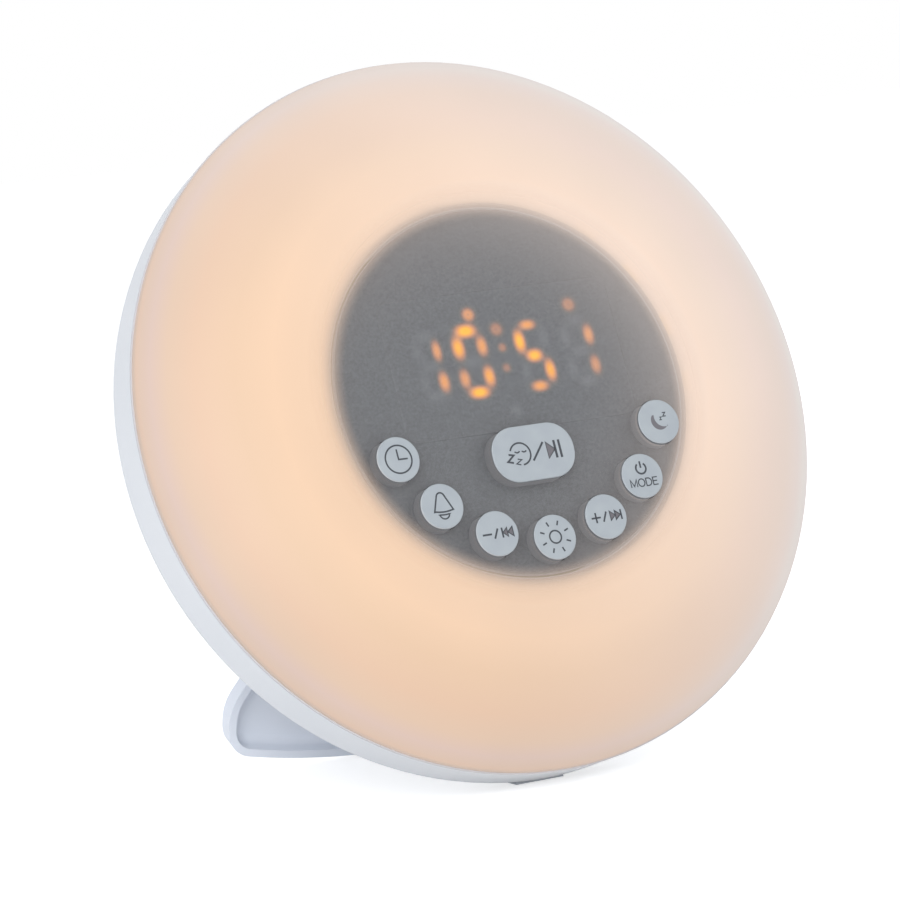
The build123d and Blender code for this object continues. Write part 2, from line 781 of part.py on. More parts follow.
with BuildPart() as lamp_ring_board:
    with BuildSketch(at_depth(pan_depth - face_gap)):
        Circle(ring_outer_radius)
        Circle(ring_inner_radius, mode=Mode.SUBTRACT)
    extrude(amount=board_wall)
save(lamp_ring_board, "lamp_ring_board")

with BuildPart() as lamp_leds:
    with BuildSketch(at_depth(pan_depth - face_gap - board_wall)):
        with PolarLocations(led_ring_radius, led_count):
            Rectangle(led_size, led_size)
    extrude(amount=led_height)
save(lamp_leds, "lamp_leds")

# ---- speaker -------------------------------------------------------------------------------
def speaker_section():
    """Section plane through the speaker's own axis."""
    return Plane(origin=face.origin + face.y_dir * speaker_y, x_dir=(1, 0, 0), z_dir=-face.y_dir)


speaker_axis = Axis(face.origin + face.y_dir * speaker_y, face.z_dir)
with BuildPart() as speaker_basket:
    with BuildSketch(speaker_section()):
        with BuildLine():
            Polyline(
                (cone_radius + 0.6 * basket_rim, -speaker_front_depth),
                (speaker_radius, -speaker_front_depth),
                (speaker_radius, -speaker_front_depth + basket_rim),
                (cone_radius + 1.2 * basket_rim, -speaker_front_depth + 1.2 * basket_rim),
                (magnet_radius - magnet_edge, -speaker_back_depth - magnet_height),
                (magnet_radius - magnet_edge - 2 * basket_rim, -speaker_back_depth - magnet_height),
                (cone_radius + 0.2 * basket_rim, -speaker_front_depth + basket_rim),
                close=True,
            )
        make_face()
    revolve(axis=speaker_axis)
save(speaker_basket, "speaker_basket")

with BuildPart() as speaker_cone:
    with BuildSketch(speaker_section()):
        with BuildLine():
            Polyline(
                (cone_radius - close_gap, -speaker_front_depth + close_gap),
                (cone_radius - close_gap, -speaker_front_depth + close_gap + pulp),
                (dust_cap_radius, -speaker_front_depth + cone_drop),
                (0, -speaker_front_depth + cap_drop),
                (0, -speaker_front_depth + cap_drop - pulp),
                (dust_cap_radius, -speaker_front_depth + cone_drop - 1.25 * pulp),
                close=True,
            )
        make_face()
    revolve(axis=speaker_axis)
save(speaker_cone, "speaker_cone")

with BuildPart() as speaker_magnet:
    with BuildSketch(at_depth(speaker_back_depth + magnet_height)):
        with Locations((0, speaker_y)):
            Circle(magnet_radius)
    extrude(amount=magnet_height)
    fillet(speaker_magnet.faces().sort_by(spin)[-1].edges(), magnet_edge)
save(speaker_magnet, "speaker_magnet")

# ---- power inlet and power board -----------------------------------------------------------
with BuildPart() as power_board:
    with BuildSketch(at_depth(power_board_depth)):
        with Locations(power_board_centre):
            RectangleRounded(*power_board_size, power_board_corner)
        with Locations(*power_posts):
            Circle(power_post_hole, mode=Mode.SUBTRACT)
    extrude(amount=-board_wall)
save(power_board, "power_board")

inlet_front = power_board_depth + board_wall
with BuildPart() as power_inlet:
    with BuildSketch(at_depth(inlet_front)):
        with Locations((inlet_x, inlet_y)):
            Rectangle(inlet_block, inlet_block)
    extrude(amount=-(back_depth - wall - inlet_front - part_gap))
    with BuildSketch(at_depth(inlet_front)):
        with Locations((inlet_x, inlet_y)):
            Circle(inlet_radius)
    extrude(amount=-(back_depth - inlet_recess - inlet_front))
    with BuildSketch(at_depth(back_depth)):
        with Locations((inlet_x, inlet_y)):
            Circle(inlet_bore_radius)
    extrude(amount=inlet_bore_length, mode=Mode.SUBTRACT)
    with BuildSketch(at_depth(back_depth - inlet_bore_length - joint_overlap)):
        with Locations((inlet_x, inlet_y)):
            Circle(inlet_pin_radius)
    extrude(amount=-(inlet_bore_length - inlet_recess - inlet_pin_setback + joint_overlap))
save(power_inlet, "power_inlet")

with BuildPart() as power_parts:
    with BuildSketch(at_depth(inlet_front)):
        with Locations(power_can[:2]):
            Circle(power_can[2])
        for x, y, block_width, block_length in power_blocks:
            with Locations((x, y)):
                Rectangle(block_width, block_length)
    extrude(amount=-power_part_height)
save(power_parts, "power_parts")

cross_screws("power_screws", power_board_depth, power_posts, power_screw, -1)

# ---- coin cell and its door ----------------------------------------------------------------
with BuildPart() as cell_door:
    with BuildSketch(at_depth(back_depth - door_wall + door_proud)):
        with Locations((door_x, door_y)):
            RectangleRounded(door_width, door_height, door_corner)
        with Locations(door_screw_place):
            Circle(screw_clearance, mode=Mode.SUBTRACT)
    extrude(amount=-door_wall)
    chamfer(cell_door.faces().sort_by(spin)[0].outer_wire().edges(), door_edge)
    with BuildSketch(at_depth(back_depth + door_proud)):
        with Locations(door_screw_place):
            Circle(door_sink_radius)
    extrude(amount=door_sink_depth, mode=Mode.SUBTRACT)
save(cell_door, "cell_door")

door_screw_depth = back_depth - door_sink_depth + door_proud
cross_screws("door_screw", door_screw_depth, [door_screw_place], cell_door_screw, 1)

bay_y = door_y - bay_drop
with BuildPart() as coin_cell:
    with BuildSketch(at_depth(cell_depth + cell_height)):
        with Locations((door_x, bay_y)):
            Circle(cell_radius)
    extrude(amount=cell_height)
    fillet(coin_cell.edges(), cell_edge)
save(coin_cell, "coin_cell")

with BuildPart() as cell_contacts:
    with BuildSketch(at_depth(bay_depth + contact_lift)):
        with Locations((door_x, bay_y)):
            Rectangle(*contact_plate)
    extrude(amount=-contact_wall)
    with BuildSketch(at_depth(bay_depth + contact_lift + contact_wall)):
        with Locations((door_x, bay_y)):
            Circle(contact_dimple_radius)
    extrude(amount=-contact_dimple)
    with BuildSketch(at_depth(bay_depth + contact_lift)):
        with Locations((door_x + cell_radius + side_contact_gap, bay_y)):
            Rectangle(*side_contact)
    extrude(amount=-side_contact_height)
save(cell_contacts, "cell_contacts")

# ---- cables between the boards -------------------------------------------------------------
def cable(name, route, bends):
    """Write a round cable along straight runs joined by arcs."""
    points = [face.origin + face.x_dir * x + face.y_dir * y - face.z_dir * depth for x, y, depth in route]
    with BuildPart() as lead:
        with BuildLine() as path:
            FilletPolyline(*points, radius=bends)
        with BuildSketch(Plane(origin=path.line @ 0, z_dir=path.line % 0)):
            Circle(cable_radius)
        sweep()
    save(lead, name)


cable("board_cable", board_cable_route, cable_bend)
cable("speaker_cable", speaker_cable_route, cable_bend)
cable("lamp_cable", lamp_cable_route, lamp_cable_bend)
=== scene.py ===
import math
import bpy
import numpy as np
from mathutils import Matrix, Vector


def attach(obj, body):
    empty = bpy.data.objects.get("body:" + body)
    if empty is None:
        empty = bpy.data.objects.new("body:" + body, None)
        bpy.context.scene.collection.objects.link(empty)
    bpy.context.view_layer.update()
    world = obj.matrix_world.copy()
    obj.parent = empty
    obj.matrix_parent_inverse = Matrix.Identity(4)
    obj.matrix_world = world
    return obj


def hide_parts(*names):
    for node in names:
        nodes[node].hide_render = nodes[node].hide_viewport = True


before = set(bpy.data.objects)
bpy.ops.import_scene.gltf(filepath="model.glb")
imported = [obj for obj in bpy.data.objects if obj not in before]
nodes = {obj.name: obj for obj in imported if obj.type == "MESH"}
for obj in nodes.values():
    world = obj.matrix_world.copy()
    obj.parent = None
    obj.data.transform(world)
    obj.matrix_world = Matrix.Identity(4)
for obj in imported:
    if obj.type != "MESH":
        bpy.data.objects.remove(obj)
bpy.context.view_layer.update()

print("frame loaded,", len(nodes), "nodes")

# where the clock's face lies, from the part's own sizes: millimetres and degrees
clock = dict(tilt=19.3, faceY=-29.10, footRadius=82.7, footDepth=40.0)
tiltSin, tiltCos = math.sin(math.radians(clock["tilt"])), math.cos(math.radians(clock["tilt"]))
faceZ = clock["footRadius"] * tiltCos + clock["footDepth"] * tiltSin
faceOrigin = np.array([0.0, clock["faceY"], faceZ]) / 1000
acrossDir = np.array([1.0, 0.0, 0.0])
upDir = np.array([0.0, tiltSin, tiltCos])
outDir = np.array([0.0, -tiltCos, tiltSin])

noiseLow, noiseHigh = 0.3, 0.7      # most of a noise lies between these


def onFace(x, y, depth):
    # face millimetres to metres in the frame: origin + x * across + y * up - depth * outward
    x, y, depth = np.broadcast_arrays(np.asarray(x, float), y, depth)
    steps = x[..., None] * acrossDir + y[..., None] * upDir - depth[..., None] * outDir
    return faceOrigin + steps / 1000


def linear(hexCode):
    # sRGB hex to linear: c / 12.92 under 0.04045, otherwise ((c + 0.055) / 1.055) ^ 2.4
    parts = [int(hexCode[i:i + 2], 16) / 255 for i in (1, 3, 5)]
    return tuple(c / 12.92 if c <= 0.04045 else ((c + 0.055) / 1.055) ** 2.4 for c in parts) + (1.0,)


def addNode(tree, kind, settings=None, inputs=None, stops=None):
    # one node: its properties, its colour stops, and then a value or another node's output for each socket
    node = tree.nodes.new(kind)
    for key, value in (settings or {}).items():
        setattr(node, key, value)
    for index, (place, shade) in enumerate(stops or ()):
        band = node.color_ramp.elements
        stop = band[index] if index < len(band) else band.new(place)
        stop.position, stop.color = place, linear(shade)
    for key, value in (inputs or {}).items():
        if isinstance(value, bpy.types.NodeSocket):
            tree.links.new(value, node.inputs[key])
        else:
            node.inputs[key].default_value = value
    return node


def newMaterial(name, surface):
    # an empty material with its Principled shader, whose sockets are set from the surface dictionary
    material = bpy.data.materials.new(name)
    material.use_nodes = True
    tree = material.node_tree
    tree.nodes.clear()
    shader = addNode(tree, "ShaderNodeBsdfPrincipled", None, surface)
    addNode(tree, "ShaderNodeOutputMaterial", None, {"Surface": shader.outputs["BSDF"]})
    return material, tree, shader


def facePlace(tree):
    # Object coordinates turned into face millimetres: x across, y up the face, z out of it
    turn = np.stack([acrossDir, upDir, outDir])
    place = addNode(tree, "ShaderNodeTexCoord")
    return addNode(tree, "ShaderNodeMapping", None, {
        "Vector": place.outputs["Object"], "Location": tuple(-turn @ faceOrigin * 1000),
        "Rotation": (math.radians(clock["tilt"] - 90), 0, 0), "Scale": (1000, 1000, 1000)}).outputs["Vector"]


def fromMiddle(tree, face):
    # the face place without its height, and its distance from the middle of the face: sqrt(x^2 + y^2)
    flat = addNode(tree, "ShaderNodeVectorMath", {"operation": "MULTIPLY"}, {
        0: face, 1: (1, 1, 0)}).outputs["Vector"]
    radius = addNode(tree, "ShaderNodeVectorMath", {"operation": "LENGTH"}, {0: flat}).outputs["Value"]
    return flat, radius


def dress(material, *names):
    # puts one material on the named CAD nodes
    for name in names:
        mesh = nodes[name].data
        mesh.materials.clear()
        mesh.materials.append(material)


# opal diffuser: frosted polycarbonate, moulded and lit from behind; its middle is as clear as thin smoke
opal = dict(
    base="#827D79", roughness=0.5, ior=1.56,
    frontDepth=0.4, wall=1.8, dropFront=18.2, dropPower=5.2, edgeRadius=84.4,     # mm, the lens's own curve
    discCentre=(-0.2, -0.25, 0),              # mm, where the soft edge of the dark disc is centred
    clearTo=40.3, opalFrom=47.7,              # mm from there, on the inner skin
    skinClearTo=43.6, skinOpalFrom=50.4,      # mm from there, on the outer skin
    haze=0.035, hazeGrow=0.17, hazeReach=36.0, hazePower=1.5, hazeSide=30.0,     # milky veil over the disc
    # glow over the radius in mm, towards the warm side and towards the pale side
    warm=[(0, "#BFA796"), (38, "#BFA796"), (50, "#CA9D6C"), (58, "#D0A16E"), (66, "#C59763"),
          (74, "#C29468"), (79, "#BD9774"), (82, "#B69585"), (83.7, "#B4937A"), (84.3, "#B69072"),
          (84.7, "#A08A7A")],
    pale=[(0, "#D0C4BE"), (38, "#D0C4BE"), (50, "#C7AD9A"), (58, "#BFA999"), (66, "#BCA79C"),
          (74, "#B5A49A"), (79, "#B0A39E"), (82, "#ADA7A3"), (84.2, "#A8A3A2"), (84.7, "#9C9694")],
    glowReach=100.0,                          # mm, the radius at the far end of both ramps
    warmSide=205.0, warmSpan=78.0,            # degrees, and mm to either side of the middle
    brightSide=60.0, brightSpan=75.0, brightShare=0.09,
    lumpMm=38.0, lumpShare=0.03,              # slow lumps in the glow
)


def opalMaterial():
    # colour and clearness both follow the distance from the middle of the face
    look = opal
    material, tree, shader = newMaterial("opalPolycarbonateMoulded", {
        "Roughness": look["roughness"], "IOR": look["ior"], "Base Color": linear(look["base"]),
        "Emission Strength": 1.0})
    face = facePlace(tree)
    height = addNode(tree, "ShaderNodeSeparateXYZ", None, {"Vector": face}).outputs["Z"]
    flat, radius = fromMiddle(tree, face)
    # how far a point lies to the warm side, to the bright side and to the side where the haze is thicker
    sides = {}
    for name in ("warmSide", "brightSide", "hazeSide"):
        angle = math.radians(look[name])
        sides[name] = addNode(tree, "ShaderNodeVectorMath", {"operation": "DOT_PRODUCT"}, {
            0: flat, 1: (math.cos(angle), math.sin(angle), 0)}).outputs["Value"]
    warmth = addNode(tree, "ShaderNodeMapRange", {"interpolation_type": "SMOOTHSTEP"}, {
        "Value": sides["warmSide"], "From Min": -look["warmSpan"], "From Max": look["warmSpan"]})
    reach = addNode(tree, "ShaderNodeMapRange", None, {"Value": radius, "From Max": look["glowReach"]})
    ramps = {}
    for name in ("pale", "warm"):
        ramps[name] = addNode(tree, "ShaderNodeValToRGB", None, {"Fac": reach.outputs["Result"]}, [
            (mm / look["glowReach"], shade) for mm, shade in look[name]]).outputs["Color"]
    colour = addNode(tree, "ShaderNodeMix", {"data_type": "RGBA"}, {
        "Factor": warmth.outputs["Result"], "A": ramps["pale"], "B": ramps["warm"]})
    # a little brighter to one side, and slow lumps left by the ring of lamps
    bright = addNode(tree, "ShaderNodeMapRange", None, {
        "Value": sides["brightSide"], "From Min": -look["brightSpan"], "From Max": look["brightSpan"],
        "To Min": 1 - look["brightShare"], "To Max": 1 + look["brightShare"]})
    lumps = addNode(tree, "ShaderNodeTexNoise", None, {
        "Vector": face, "Scale": 1 / look["lumpMm"], "Detail": 1.0})
    patch = addNode(tree, "ShaderNodeMapRange", None, {
        "Value": lumps.outputs["Fac"], "From Min": noiseLow, "From Max": noiseHigh,
        "To Min": 1 - look["lumpShare"], "To Max": 1 + look["lumpShare"]})
    strength = addNode(tree, "ShaderNodeMath", {"operation": "MULTIPLY"}, {
        0: bright.outputs["Result"], 1: patch.outputs["Result"]})
    glow = addNode(tree, "ShaderNodeVectorMath", {"operation": "SCALE"}, {
        0: colour.outputs["Result"], "Scale": strength.outputs["Value"]})
    tree.links.new(glow.outputs["Vector"], shader.inputs["Emission Color"])
    # the haze: (radius * (radius + side) / (2 * reach^2)) ^ power, so that it grows outwards and to one side
    sideSum = addNode(tree, "ShaderNodeMath", {"operation": "ADD"}, {0: radius, 1: sides["hazeSide"]})
    area = addNode(tree, "ShaderNodeMath", {"operation": "MULTIPLY"}, {
        0: radius, 1: sideSum.outputs["Value"]})
    share = addNode(tree, "ShaderNodeMath", {"operation": "DIVIDE"}, {
        0: area.outputs["Value"], 1: 2 * look["hazeReach"] ** 2})
    grown = addNode(tree, "ShaderNodeMath", {"operation": "POWER"}, {
        0: share.outputs["Value"], 1: look["hazePower"]})
    haze = addNode(tree, "ShaderNodeMath", {"operation": "MULTIPLY_ADD"}, {
        0: grown.outputs["Value"], 1: look["hazeGrow"], 2: look["haze"]})
    # each skin turns opal over its own width
    offCentre = addNode(tree, "ShaderNodeVectorMath", {"operation": "DISTANCE"}, {
        0: flat, 1: look["discCentre"]}).outputs["Value"]
    outer = addNode(tree, "ShaderNodeMapRange", {"interpolation_type": "SMOOTHSTEP"}, {
        "Value": offCentre, "From Min": look["skinClearTo"], "From Max": look["skinOpalFrom"],
        "To Min": haze.outputs["Value"], "To Max": 1.0})
    inner = addNode(tree, "ShaderNodeMapRange", {"interpolation_type": "SMOOTHSTEP"}, {
        "Value": offCentre, "From Min": look["clearTo"], "From Max": look["opalFrom"]})
    # height + drop * (radius / edge radius) ^ power is the same all over a skin, and tells the two apart
    part = addNode(tree, "ShaderNodeMath", {"operation": "DIVIDE"}, {0: radius, 1: look["edgeRadius"]})
    bend = addNode(tree, "ShaderNodeMath", {"operation": "POWER"}, {
        0: part.outputs["Value"], 1: look["dropPower"]})
    unbent = addNode(tree, "ShaderNodeMath", {"operation": "MULTIPLY_ADD"}, {
        0: bend.outputs["Value"], 1: look["dropFront"], 2: height})
    isOuter = addNode(tree, "ShaderNodeMath", {"operation": "GREATER_THAN"}, {
        0: unbent.outputs["Value"], 1: -look["frontDepth"] - look["wall"] / 2})
    alpha = addNode(tree, "ShaderNodeMix", {"data_type": "FLOAT"}, {
        "Factor": isOuter.outputs["Value"], "A": inner.outputs["Result"], "B": outer.outputs["Result"]})
    tree.links.new(alpha.outputs["Result"], shader.inputs["Alpha"])
    return material


dress(opalMaterial(), "front_diffuser")
print("diffuser done")

# display: a smoke mask, and in it a film in which the digits glow with soft edges
smoke = dict(
    colour="#5B5F63", shade="#4B4E52", roughness=0.55, ior=1.49,
    grainMm=0.55, grainRough=0.6, grainStrength=0.1, grainDepth=0.05,     # mm; coarse, so that it shows
    # painted light: the mask's side wall glows at the disc's tone, so that its shade does not show
    wallFrom=42.98, wallPaintedLight="#5E6064",      # mm, the mask's side wall
)
digits = dict(
    x0=-28.4, x1=30.8, y0=-9.4, y1=23.8, corner=3.0, depth=3.635, thickness=0.02,      # mm, the film
    step=0.25,                                  # mm, of its grid
    # the rim colour is painted light along the film's cut edge, laid over the dark line of its shade
    rim=0.6, rimPaintedLight="#212223",                 # mm, the light in its cut edge
    square=2.2, sharp=1.25, spread=1.06,        # how square, how sharp and how wide a bar shows
    # each bar: x, y, half width and half height at half brightness, brightness
    bars=[(-15.8, 11.2, 0.94, 1.90, 0.59), (-15.8, 3.9, 1.08, 1.89, 0.64),
          (-7.5, 14.9, 2.02, 1.23, 1.08), (-10.3, 11.2, 1.22, 2.05, 0.93), (-4.3, 11.0, 1.10, 1.87, 0.67),
          (-10.5, 3.9, 1.10, 1.79, 0.58), (-4.3, 3.8, 1.12, 1.89, 0.81), (-7.7, 0.4, 1.94, 1.12, 1.05),
          (8.3, 14.5, 1.64, 0.95, 0.70), (5.4, 10.9, 1.12, 2.07, 1.01), (8.3, 7.2, 1.58, 1.17, 1.03),
          (11.4, 3.4, 1.07, 2.00, 0.87), (7.8, 0.0, 1.68, 1.00, 0.71),
          (23.3, 10.4, 1.08, 1.87, 0.59), (23.2, 3.2, 1.08, 1.78, 0.48),
          (0.7, 10.0, 0.9, 0.9, 0.31), (0.5, 5.2, 0.92, 0.92, 0.26)],
    # each ring: x, y, radius, half width of its line at half brightness, brightness
    rings=[(-5.8, 18.6, 0.55, 0.85, 0.56), (0.3, 14.4, 0.55, 0.9, 0.33), (20.1, 18.0, 0.55, 0.95, 0.36)],
    # unlit bars show as paler smudges
    ghosts=[(-20.6, 11.4, 1.1, 2.0, 0.8), (-20.6, 4.0, 1.1, 2.0, 0.8), (-18.2, 14.9, 2.0, 1.1, 0.7),
            (-18.2, 0.7, 2.0, 1.1, 0.8), (-18.2, 7.7, 1.8, 1.1, 0.7), (-7.6, 7.6, 1.7, 1.1, 1.0),
            (11.6, 11.0, 1.1, 2.0, 0.9), (5.3, 3.6, 1.1, 2.0, 0.8), (17.2, 10.4, 1.1, 2.0, 1.0),
            (17.2, 3.2, 1.1, 2.0, 1.0), (20.3, 14.2, 1.9, 1.1, 0.8), (20.3, 6.9, 1.8, 1.1, 1.0),
            (20.3, -0.3, 2.0, 1.1, 1.0), (0.2, -4.8, 1.1, 1.1, 1.0)],
    ghostTone="#83858A", ghostShare=0.22,
    # emission over the glow, from dull rose through salmon to yellow
    tint=[(0.0, "#000000"), (0.05, "#2A1D04"), (0.15, "#5C3206"), (0.30, "#915521"), (0.51, "#C0731B"),
          (0.72, "#E38E07"), (0.83, "#ED9E0D"), (1.0, "#FABA20")],
    burntFrom=0.55, burntTo=1.05, burntShare=0.85, burntTone="#0A0806",     # glow that drowns the grey
)


def softBars(x, y, bars):
    # sum over all bars of brightness * 2 ^ -((|dx / half width|^square + |dy / half height|^square)^sharp)
    bars = np.array(bars)
    across = np.abs(x[..., None] - bars[:, 0]) / (bars[:, 2] * digits["spread"])
    up = np.abs(y[..., None] - bars[:, 1]) / (bars[:, 3] * digits["spread"])
    away = (across ** digits["square"] + up ** digits["square"]) ** digits["sharp"]
    return (bars[:, 4] * 2.0 ** -away).sum(-1)


def softRings(x, y, rings):
    # sum over all rings of brightness * 2 ^ -((distance to the ring's line / half width)^2)
    rings = np.array(rings)
    toMiddle = np.hypot(x[..., None] - rings[:, 0], y[..., None] - rings[:, 1])
    away = np.abs(toMiddle - rings[:, 2]) / rings[:, 3]
    return (rings[:, 4] * 2.0 ** -(away ** 2)).sum(-1)


def gridFaces(rows, columns, wrapRows=False, wrapColumns=False):
    # quads of a grid of points numbered row by row; a wrapped direction joins its last line to its first
    r = np.arange(rows if wrapRows else rows - 1)
    c = np.arange(columns if wrapColumns else columns - 1)
    i, j = np.meshgrid(r, c, indexing="ij")
    i2, j2 = (i + 1) % rows, (j + 1) % columns
    corners = [i * columns + j, i * columns + j2, i2 * columns + j2, i2 * columns + j]
    return np.stack(corners, -1).reshape(-1, 4)


def meshPiece(name, points, faces, body, material, smooth=True):
    # a new object at the origin whose mesh holds the points, riding on a body
    mesh = bpy.data.meshes.new(name)
    mesh.from_pydata(points.reshape(-1, 3).tolist(), [], [list(f) for f in faces])
    mesh.polygons.foreach_set("use_smooth", np.full(len(mesh.polygons), smooth))
    mesh.materials.append(material)
    mesh.update()
    piece = bpy.data.objects.new(name, mesh)
    bpy.context.scene.collection.objects.link(piece)
    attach(piece, body)
    return piece


def smokeTone(tree, shader, face):
    # dark acrylic: a mottled grey with a fine grain, as frost leaves it
    grain = addNode(tree, "ShaderNodeTexNoise", None, {
        "Vector": face, "Scale": 1 / smoke["grainMm"], "Detail": 2.0, "Roughness": smoke["grainRough"]})
    tone = addNode(tree, "ShaderNodeValToRGB", None, {"Fac": grain.outputs["Fac"]}, [
        (noiseLow, smoke["shade"]), (noiseHigh, smoke["colour"])])
    bump = addNode(tree, "ShaderNodeBump", None, {
        "Height": grain.outputs["Fac"], "Strength": smoke["grainStrength"],
        "Distance": smoke["grainDepth"] / 1000})
    tree.links.new(bump.outputs["Normal"], shader.inputs["Normal"])
    return tone.outputs["Color"]


def maskMaterial():
    # smoke acrylic, moulded: even dark grey, no gloss behind the frosted lens, and painted light in its side
    # wall, which glows so that its shade does not show
    material, tree, shader = newMaterial("smokeAcrylicMaskMoulded", {
        "Roughness": smoke["roughness"], "IOR": smoke["ior"], "Emission Strength": 1.0})
    face = facePlace(tree)
    tree.links.new(smokeTone(tree, shader, face), shader.inputs["Base Color"])
    # painted light: the side wall and the outermost rim of the face glow, to cover the shade there
    wall = addNode(tree, "ShaderNodeMath", {"operation": "GREATER_THAN"}, {
        0: fromMiddle(tree, face)[1], 1: smoke["wallFrom"]})
    glow = addNode(tree, "ShaderNodeVectorMath", {"operation": "SCALE"}, {
        0: linear(smoke["wallPaintedLight"])[:3], "Scale": wall.outputs["Value"]})
    tree.links.new(glow.outputs["Vector"], shader.inputs["Emission Color"])
    return material


def filmMaterial():
    # smoke acrylic film, printed: attributes say where it glows, where unlit bars show and where its rim
    # carries painted light
    material, tree, shader = newMaterial("smokeAcrylicFilmPrinted", {
        "Roughness": smoke["roughness"], "IOR": smoke["ior"], "Emission Strength": 1.0})
    glow, ghost, rim = [addNode(tree, "ShaderNodeAttribute", {"attribute_name": name}).outputs["Fac"]
                        for name in ("glow", "ghost", "rim")]
    grey = smokeTone(tree, shader, facePlace(tree))
    paler = addNode(tree, "ShaderNodeMix", {"data_type": "RGBA"}, {
        "Factor": ghost, "A": grey, "B": linear(digits["ghostTone"])})
    burnt = addNode(tree, "ShaderNodeMapRange", None, {
        "Value": glow, "From Min": digits["burntFrom"], "From Max": digits["burntTo"],
        "To Max": digits["burntShare"]})
    body = addNode(tree, "ShaderNodeMix", {"data_type": "RGBA"}, {
        "Factor": burnt.outputs["Result"], "A": paler.outputs["Result"], "B": linear(digits["burntTone"])})
    tint = addNode(tree, "ShaderNodeValToRGB", None, {"Fac": glow}, digits["tint"])
    # painted light along the cut edge, to lift the dark line of shade there
    paintedRimLight = addNode(tree, "ShaderNodeVectorMath", {"operation": "MULTIPLY_ADD"}, {
        0: rim, 1: linear(digits["rimPaintedLight"])[:3], 2: tint.outputs["Color"]})
    tree.links.new(body.outputs["Result"], shader.inputs["Base Color"])
    tree.links.new(paintedRimLight.outputs["Vector"], shader.inputs["Emission Color"])
    return material


def displayFilm():
    # a flat grid whose corners are rounded: there a square patch (a, b), each from 0 to 1, becomes
    # a quarter disc: a * sqrt(1 - b^2 / 2), b * sqrt(1 - a^2 / 2)
    d = digits
    corner = d["corner"]
    columns = int((d["x1"] - d["x0"]) / d["step"]) + 1
    rows = int((d["y1"] - d["y0"]) / d["step"]) + 1
    x, y = np.meshgrid(np.linspace(d["x0"], d["x1"], columns), np.linspace(d["y0"], d["y1"], rows))
    midX, midY = (d["x0"] + d["x1"]) / 2, (d["y0"] + d["y1"]) / 2
    flatX, flatY = (d["x1"] - d["x0"]) / 2 - corner, (d["y1"] - d["y0"]) / 2 - corner
    offX, offY = np.abs(x - midX), np.abs(y - midY)
    a, b = np.maximum(offX - flatX, 0) / corner, np.maximum(offY - flatY, 0) / corner
    reachX = np.minimum(offX, flatX) + corner * a * np.sqrt(1 - b * b / 2)
    reachY = np.minimum(offY, flatY) + corner * b * np.sqrt(1 - a * a / 2)
    bentX, bentY = midX + np.sign(x - midX) * reachX, midY + np.sign(y - midY) * reachY
    film = meshPiece("displayFilm", onFace(bentX, bentY, d["depth"]), gridFaces(rows, columns), "head",
                     filmMaterial())
    # the rim, where painted light is laid: 1 at the edge, down to 0 over the rim's width
    inwards = corner - np.hypot(np.maximum(reachX - flatX, 0), np.maximum(reachY - flatY, 0))
    values = dict(rim=np.clip(1 - inwards / d["rim"], 0, 1),
                  glow=softBars(bentX, bentY, d["bars"]) + softRings(bentX, bentY, d["rings"]),
                  ghost=np.clip(softBars(bentX, bentY, d["ghosts"]), 0, 1) * d["ghostShare"])
    for name, value in values.items():
        layer = film.data.attributes.new(name, "FLOAT", "POINT")
        layer.data.foreach_set("value", value.ravel().astype(np.float32))
    wall = film.modifiers.new("wall", "SOLIDIFY")
    wall.thickness = d["thickness"] / 1000
    wall.offset = -1.0
    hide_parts("display_film")


dress(maskMaterial(), "display_mask")
displayFilm()
print("display done")

# keys: pale ABS caps with pad-printed pictograms, whose sides under the lens carry painted light and painted
# shade; heights in mm under the cap's top
keyLook = dict(
    cap="#99A0A5", capShade="#949BA1", roughness=0.45, ior=1.53,
    driftMm=6.0, driftLow=0.35, driftHigh=0.65,
    grainMm=0.35, grainStrength=0.12, grainDepth=0.04,      # mm; coarse, so that it shows
    # the edge colour is a painted highlight on the cap's rounded edge, between the two heights given with it
    edge="#BEC5CA", edgeFrom=0.04, edgeTo=0.16,
    # the sides are black and glow: the side colour is painted shade just under the cap, the deeper colour
    # painted light at the disc's tone further down
    skirt="#050505", side="#4A4D51", deepPaintedLight="#65676B", sideFrom=0.38, sideTo=0.6,
)
ink = dict(colour="#32363C", filled="#605E63", roughness=0.55, fleckMm=0.5, fleckShare=0.15,
           line=0.37, proud=0.03, sunk=0.02, mitreLimit=0.45)      # mm, but for the last
keyRing = dict(radius=36.05, rise=0.39, step=22.76, snoozeRise=-15.76)      # mm and degrees


